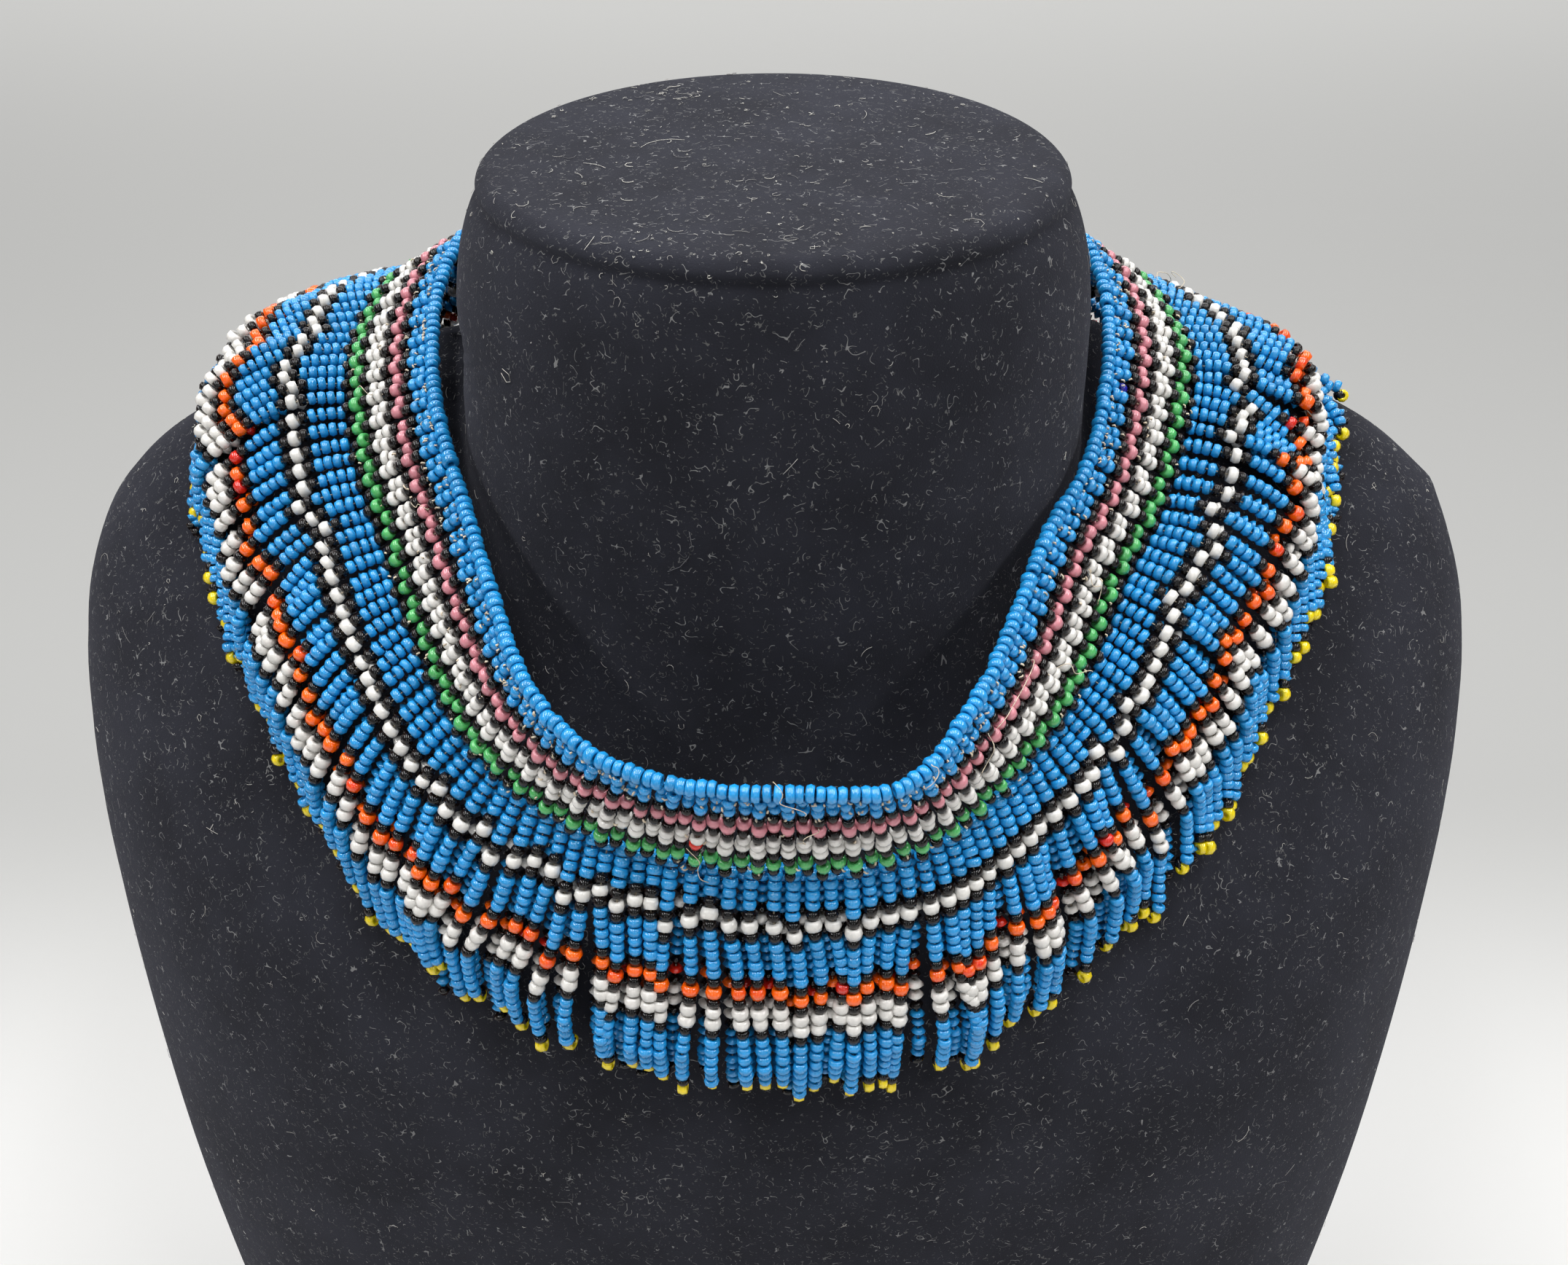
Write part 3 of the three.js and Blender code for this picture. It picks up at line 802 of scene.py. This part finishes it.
def strand_path(u0, shifts, top, lift):
    """Finely spaced points down one leg, raised by top at the band and by lift below."""
    s = np.linspace(0.0, 1.0, 45)
    early, late = shifts
    sag = SAG * math.sin(TURN * u0) * s ** 1.25
    u = u0 + sag + early * ease(s, 0.25, 0.6) + late * ease(s, 0.55, 1.0)
    u = np.clip(u, 0.0005, 0.9995)
    front = math.exp(-(((u0 - 0.5) / 0.1) ** 2))
    sunk = (-0.7 - 1.5 * front) * (1 - ease(s, 0.0, 0.34))
    rise = sunk + top + (lift - top) * ease(s, 0.05, 0.5)
    return strand_point(u, s) + outward(strand_point, u, s, 0.01) * rise[:, None]


def hang(kinds, path, tree, clear, slack=0.72):
    """Bead middles strung down a path that near its end let go and fall along the bust."""
    run = np.concatenate([[0], np.cumsum(np.linalg.norm(np.diff(path, axis=0), axis=1))])
    heads = unit(np.gradient(path, axis=0))
    half = np.array([BEAD_SIZE[k][1] for k in kinds]) * 0.515
    steps = half + np.concatenate([[0], half[:-1]])
    back = min(max((40 - path[0][1]) / 30, 0), 1)
    fall = np.array((0.0, -0.5 * back, -0.87))
    fall /= np.linalg.norm(fall)
    total = run[-1]
    last, at, centres = path[0], 0.0, []
    for step in steps:
        at += step
        i = min(int(np.searchsorted(run, at)), len(run) - 1)
        loose = float(ease(at / total, slack, slack + 0.34))
        way = heads[i] * (1 - loose) + fall * loose
        if at < total:
            way = way + (path[i] - last - heads[i] * step) * 0.12 * (1 - loose)
        spot = last + way / np.linalg.norm(way) * step
        near, normal, _, _ = tree.find_nearest(Vector(spot * MM))
        normal = np.array(normal)
        room = float((spot - np.array(near) / MM) @ normal)
        if room < clear:
            spot = spot + normal * (clear - room)
        elif loose > 0.3 and room > clear + 0.6:
            spot = spot - normal * min(0.45 * (room - clear - 0.6), step * 0.6)
        last = last + (spot - last) / np.linalg.norm(spot - last) * step
        centres.append(last)
    return np.array(centres)


def strand_leans(rng, count, step):
    """Sideways shifts of each strand, early and late on its way, and a height for each."""
    early, late = wave(rng, count, 3), wave(rng, count, 3)
    heights = wave(rng, count, 2)
    shift = np.stack([
        early * 0.42 + rng.normal(0, 0.17, count), late * 0.42 + rng.normal(0, 0.3, count),
    ], 1) * step
    for i in range(1, count):
        shift[i] = shift[i].clip(shift[i - 1] - 0.55 * step, shift[i - 1] + 0.55 * step)
    return shift, heights


def tip_of(front, out, is_open, rng):
    """The yellow bead's middle; where the tip is tucked, the black bead goes in with it."""
    down = unit(front[-2] - front[-4])
    if is_open:
        return front[-1] + down * OPEN_STEP, down
    front[-1] = front[-2] + unit(down * 0.85 - out) * TUCK_STEP
    drop = TUCK_STEP + 0.6 * rng.uniform(-0.3, 0.6)
    return front[-2] + down * drop - out * TUCK_IN, down


# Pieces of the front legs: name and the shares of the rim between which they hang.
FRINGE_PARTS = (
    ("fringe_left", 0.13, 0.41), ("fringe_front", 0.41, 0.61), ("fringe_right", 0.61, 0.87),
)


class COLLAR_OT_fringe(bpy.types.Operator):
    """Hangs the looped strands: front legs in bunches, back legs in their shade"""

    bl_idname = "collar.fringe"
    bl_label = "Fringe strands"

    def execute(self, context):
        count = context.scene.collar_sizes.strands
        tree = bust_tree()
        rng = np.random.default_rng(21)
        step = 1 / count
        shares = spread_strands(count)
        shift, heights = strand_leans(rng, count, step)
        open_tips = {int(np.abs(shares - u).argmin()) for u in OPEN_TIPS}
        parts = {name: Beads() for name, _, _ in FRINGE_PARTS}
        parts["fringe_back"] = Beads()
        under = {"fringe_under_left": Beads(), "fringe_under_right": Beads()}
        threads = []
        for i, u0 in enumerate(shares):
            lift = 0.55 + 0.45 * heights[i] + rng.uniform(0, 0.6)
            path = strand_path(u0 + rng.normal(0, 0.05) * step, shift[i], FRONT_TOP, lift)
            name = next((n for n, a, b in FRINGE_PARTS if a <= u0 < b), "fringe_back")
            kinds = strand_kinds(rng, False)
            front = hang(kinds, path, tree, FRONT_CLEAR + 0.5 * rng.uniform())
            beside = min(i + 1, count - 1)
            between = (shift[i] + shift[beside]) / 2 + rng.normal(0, 0.14, 2) * step
            path = strand_path((u0 + shares[beside]) / 2, between, BACK_TOP, BACK_LIFT)
            below = strand_kinds(rng, True)
            back = hang(below, path, tree, BACK_CLEAR)
            half = under["fringe_under_left" if u0 < 0.5 else "fringe_under_right"]
            half.add(back, np.gradient(back, axis=0), below)
            out = outward(strand_point, [u0], [0.9], 0.01)[0]
            tip, down = tip_of(front, out, i in open_tips, rng)
            parts[name].add(front, np.gradient(front, axis=0), kinds)
            parts[name].add([tip], [np.cross(down, out)], ["yellow"])
            for chain in (front, back):
                threads.append(chain[np.linspace(0, len(chain) - 1, 7).round().astype(int)])
        glass = bead_materials()
        for seed, (name, beads) in enumerate(parts.items()):
            piece = beads.build(name, bead_shape(10, FULL_RING), glass, seed=31 + seed, lean=0.08)
            finish_piece(piece, "fringe", "fringe")
        for seed, (name, beads) in enumerate(under.items()):
            piece = beads.build(name, bead_shape(10, PLAIN_RING), glass, seed=41 + seed, lean=0.1)
            finish_piece(piece, "fringe", "fringe")
        thread_piece("fringe_threads", threads, 0.13, "fringe")
        return {"FINISHED"}


# Loose threads on the collar: share of the rim and run out from it at both ends, rise and curl.
LOOSE = (
    (0.478, 12.5, 0.484, 20.5, 2.1, 1.5), (0.620, 4.5, 0.585, 4.5, 2.6, 2.2),
    (0.625, 10.5, 0.634, 18.0, 2.4, 1.2), (0.585, 4.6, 0.572, 9.0, 2.0, 1.0),
    (0.850, 14.0, 0.862, 23.0, 3.0, 2.5), (0.862, 23.0, 0.846, 19.0, 4.2, 2.8),
    (0.512, 3.0, 0.502, -4.5, 1.6, 1.2), (0.516, 5.6, 0.510, 9.5, 1.9, 0.8),
    (0.552, 1.0, 0.560, -3.0, 1.8, 0.8), (0.668, 9.0, 0.661, 14.0, 2.2, 1.0),
    (0.303, 6.0, 0.297, 9.0, 2.0, 0.6), (0.236, 12.0, 0.228, 15.5, 2.1, 0.7),
)


class COLLAR_OT_threads(bpy.types.Operator):
    """Lays the bits of cream thread that show between the beads, and the loose ends"""

    bl_idname = "collar.threads"
    bl_label = "Loose threads"

    def execute(self, context):
        rng = np.random.default_rng(51)
        bits = []
        for count, run, run_noise, length, rise in (
            (140, 1.25, 0.12, 0.7, 1.15), (110, 3.0, 0.2, 0.8, 1.2), (60, 4.9, 0.25, 0.9, 1.2),
            (46, 10.6, 1.2, 0.8, 1.35), (60, 18.3, 0.8, 0.8, 1.15),
        ):
            u = rng.uniform(0.14, 0.86, count)
            s = run + rng.normal(0, run_noise, count)
            spots = band_point(u, s)
            lift = outward(band_point, u, s, 1.0) * (rise + rng.normal(0, 0.12, (count, 1)))
            turn = rng.normal(0, 0.7, (count, 1))
            out = unit(band_point(u, s + 0.5) - band_point(u, s - 0.5))
            way = out * np.cos(turn) + unit(along_band(u, s)) * np.sin(turn)
            reach = way * length * rng.uniform(0.6, 1.3, (count, 1)) / 2
            low = outward(band_point, u, s, 1.0) * 0.25
            bit = (spots + lift - reach - low, spots + lift, spots + lift + reach - low)
            bits.append(np.stack(bit, 1))
        thread_piece("thread_bits", np.concatenate(bits), 0.17, "woven_band")
        w = np.linspace(0, 1, 18)
        loose = []
        for u0, s0, u1, s1, rise, curl in LOOSE:
            u, s = u0 + (u1 - u0) * w, s0 + (s1 - s0) * w
            bow = rise + 0.9 * np.sin(np.pi * w) + 0.2 * np.sin(9 * w + u0 * 40)
            sway = curl * (0.6 * np.sin(2.6 * np.pi * w + u0 * 50) + 0.3 * np.sin(11 * w))
            points = band_point(u, s) + outward(band_point, u, s, 1.0) * bow[:, None]
            loose.append(points + unit(along_band(u, s)) * sway[:, None])
        thread_piece("loose_threads", loose, 0.075, "woven_band")
        return {"FINISHED"}


class COLLAR_OT_closure(bpy.types.Operator):
    """Sews the cotton tape that joins the ends of the band at the back"""

    bl_idname = "collar.closure"
    bl_label = "Closure tape"

    def execute(self, context):
        bm = merged_copy("closure_tab", 20)
        sharp = [e for e in bm.edges if e.calc_face_angle(0) > 0.6]
        bmesh.ops.bevel(
            bm, geom=sharp, offset=0.5 * MM, segments=3, profile=0.6, affect="EDGES",
            clamp_overlap=True,
        )
        piece = linked_piece(bm, "closure_tape")
        piece.data.shade_smooth()
        piece.data.materials.append(tape_material())
        finish_piece(piece, "closure_tab", "closure_tab")
        rim, edge = (guide_at(name, np.zeros(1))[0] for name in ("rim", "band"))
        out = unit(edge - rim)
        up = unit(np.cross((1.0, 0.0, 0.0), out))
        if up[1] < 0:
            up = -up
        stitches = []
        for side in (-1, 1):
            for k in range(9):
                spot = rim + out * (1.6 + k * 1.95) + up * 1.32
                a = spot + np.array((side * 1.5, 0, 0)) - out * 0.5
                b = spot + np.array((side * 4.4, 0, 0)) + out * 0.5
                mid = (a + b) / 2 + up * 0.3
                over = ((a + mid) / 2 + up * 0.12, mid, (b + mid) / 2)
                stitches.append([a - up * 0.35, *over, b - up * 0.6])
        thread_piece("closure_stitches", stitches, 0.2, "closure_tab")
        return {"FINISHED"}


# Dusty smudges on the velvet: place, reach across and share of the lint, in millimetres.
SMUDGES = (
    ((-17.6, 33.5, 309), 2.6, 0.03), ((-41, 34.5, 309), 4.5, 0.03), ((-20.6, -38, 309), 5.5, 0.03),
)


class COLLAR_OT_lint(bpy.types.Operator):
    """Scatters short curled fibres of lint on the velvet"""

    bl_idname = "collar.lint"
    bl_label = "Lint"

    def execute(self, context):
        count = context.scene.collar_sizes.lint
        mesh = bpy.data.objects["velvet_bust"].data
        mesh.calc_loop_triangles()
        corners = np.array([v.co for v in mesh.vertices]) / MM
        triangles = np.array([t.vertices for t in mesh.loop_triangles])
        a, b, c = (corners[triangles[:, k]] for k in range(3))
        cross = np.cross(b - a, c - a)
        area = np.linalg.norm(cross, axis=1)
        normals = unit(cross)
        weight = area * (0.3 + 1.9 * normals[:, 2].clip(0, 1) ** 2) * (normals[:, 2] > -0.5)
        middle = (a + b + c) / 3
        weight *= 0.35 + 0.65 * ease(middle[:, 2], 60, 140)
        weight /= weight.sum()
        for place, reach, share in SMUDGES:
            near = area * np.exp(-((middle - place) ** 2).sum(1) / (2 * reach ** 2))
            weight += share * near / max(near.sum(), 1e-9)
        rng = np.random.default_rng(61)
        pick = rng.choice(len(area), count, p=weight / weight.sum())
        r1, r2 = np.sqrt(rng.uniform(0, 1, (2, count, 1)))
        r2 = r2 ** 2
        spots = a[pick] * (1 - r1) + b[pick] * r1 * (1 - r2) + c[pick] * r1 * r2
        n = normals[pick]
        heading, _ = side_frames(n, rng.uniform(0, TURN, count))
        other = np.cross(n, heading)
        length = rng.lognormal(0.15, 0.65, count).clip(0.4, 9.0)
        bend = rng.normal(0, 1.1, count)
        t = np.linspace(-0.5, 0.5, 5)
        turn = bend[:, None] * t[None] * 2.4
        forward = (t * length[:, None])[..., None]
        paths = (
            spots[:, None] + n[:, None] * (0.1 + 0.12 * rng.uniform(0, 1, (count, 1, 1)))
            + forward * np.cos(turn)[..., None] * heading[:, None]
            + forward * np.sin(turn)[..., None] * other[:, None]
        )
        radius = np.broadcast_to(rng.uniform(0.028, 0.06, (count, 1)), (count, 5))
        co, quads = tube_arrays(paths, radius)
        tones = np.repeat(rng.uniform(0, 1, count), len(co) // count)
        piece = array_mesh("lint", co, quads, tones)
        piece.data.materials.append(lint_material())
        finish_piece(piece, "neck_bust")
        return {"FINISHED"}


# Area lights: place, size along and across, and watts.
LIGHTS = {
    "overhead": ((0.0, 0.1, 1.6), 1.6, 1.2, 1.5),
    "strip_a": ((-0.84, -0.15, 0.98), 0.13, 1.1, 7.5),
    "strip_b": ((-0.3, -0.15, 1.28), 0.13, 1.1, 7.5),
    "strip_c": ((0.3, -0.15, 1.28), 0.13, 1.1, 7.5),
    "strip_d": ((0.84, -0.15, 0.98), 0.13, 1.1, 7.5),
    "front_a": ((-0.5, -1.5, 0.75), 0.1, 1.2, 2.6),
    "front_b": ((0.5, -1.5, 0.75), 0.1, 1.2, 2.6),
    "back_wash": ((0.0, 2.15, 1.4), 4.6, 1.3, 77.0),
}
LIGHT_TARGET = Vector((0, -0.03, 0.24))


def add_light(scene, name, place, size, size_y, power):
    """An area light: strips tip about Y alone, the wash faces down, the rest face the collar."""
    lamp = bpy.data.lights.new(name, "AREA")
    lamp.shape = "RECTANGLE"
    lamp.size, lamp.size_y, lamp.energy = size, size_y, power
    light = bpy.data.objects.new(name, lamp)
    light.location = place
    aim = LIGHT_TARGET - Vector(place)
    if name.startswith("strip"):
        light.rotation_euler = (0, math.atan2(-aim.x, -aim.z), 0)
    elif name != "back_wash":
        light.rotation_euler = aim.to_track_quat("-Z", "Y").to_euler()
    scene.collection.objects.link(light)


def add_camera(scene):
    """The camera at the photograph's angle, looking 30 degrees down at the collar."""
    lens = bpy.data.cameras.new("camera")
    lens.lens, lens.sensor_width = 41.0, 36.0
    lens.clip_start, lens.clip_end = 0.01, 20.0
    camera = bpy.data.objects.new("camera", lens)
    camera.location = (0.0018, -0.2996, 0.3911)
    camera.rotation_euler = (math.radians(60), 0, 0)
    scene.collection.objects.link(camera)
    scene.camera = camera


class COLLAR_OT_stage(bpy.types.Operator):
    """Sets the pale floor, the soft studio lights and the camera"""

    bl_idname = "collar.stage"
    bl_label = "Stage"

    def execute(self, context):
        scene = context.scene
        bm = bmesh.new()
        bmesh.ops.create_grid(bm, x_segments=8, y_segments=8, size=4.0)
        floor = linked_piece(bm, "floor")
        floor.data.materials.append(floor_material())

        world = bpy.data.worlds.new("studio")
        world.use_nodes = True
        tune(world.node_tree.nodes["Background"], Color=(1.0, 1.0, 1.0, 1), Strength=0.22)
        scene.world = world
        for name, values in LIGHTS.items():
            add_light(scene, name, *values)
        add_camera(scene)
        scene.view_settings.view_transform = "Standard"
        return {"FINISHED"}


class COLLAR_PT_panel(bpy.types.Panel):
    """Lists the steps that dress the collar and its bust"""

    bl_label = "Beaded collar"
    bl_idname = "COLLAR_PT_panel"
    bl_space_type = "VIEW_3D"
    bl_region_type = "UI"
    bl_category = "Collar"

    def draw(self, context):
        for group in (context.scene.collar_sizes, context.scene.collar_colours):
            for key in group.__annotations__:
                self.layout.prop(group, key)
        for step in STEPS:
            self.layout.operator(step.bl_idname)


STEPS = (
    COLLAR_OT_stage,
    COLLAR_OT_bust,
    COLLAR_OT_rim,
    COLLAR_OT_band,
    COLLAR_OT_fringe,
    COLLAR_OT_threads,
    COLLAR_OT_closure,
    COLLAR_OT_lint,
)
CLASSES = (CollarSizes, CollarColours, *STEPS, COLLAR_PT_panel)


def register():
    for cls in CLASSES:
        bpy.utils.register_class(cls)
    bpy.types.Scene.collar_sizes = PointerProperty(type=CollarSizes)
    bpy.types.Scene.collar_colours = PointerProperty(type=CollarColours)


def unregister():
    del bpy.types.Scene.collar_colours
    del bpy.types.Scene.collar_sizes
    for cls in reversed(CLASSES):
        bpy.utils.unregister_class(cls)


def main():
    """Registers the add-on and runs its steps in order."""
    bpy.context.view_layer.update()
    register()
    for step in STEPS:
        group, name = step.bl_idname.split(".")
        getattr(getattr(bpy.ops, group), name)()


if __name__ == "__main__":
    main()
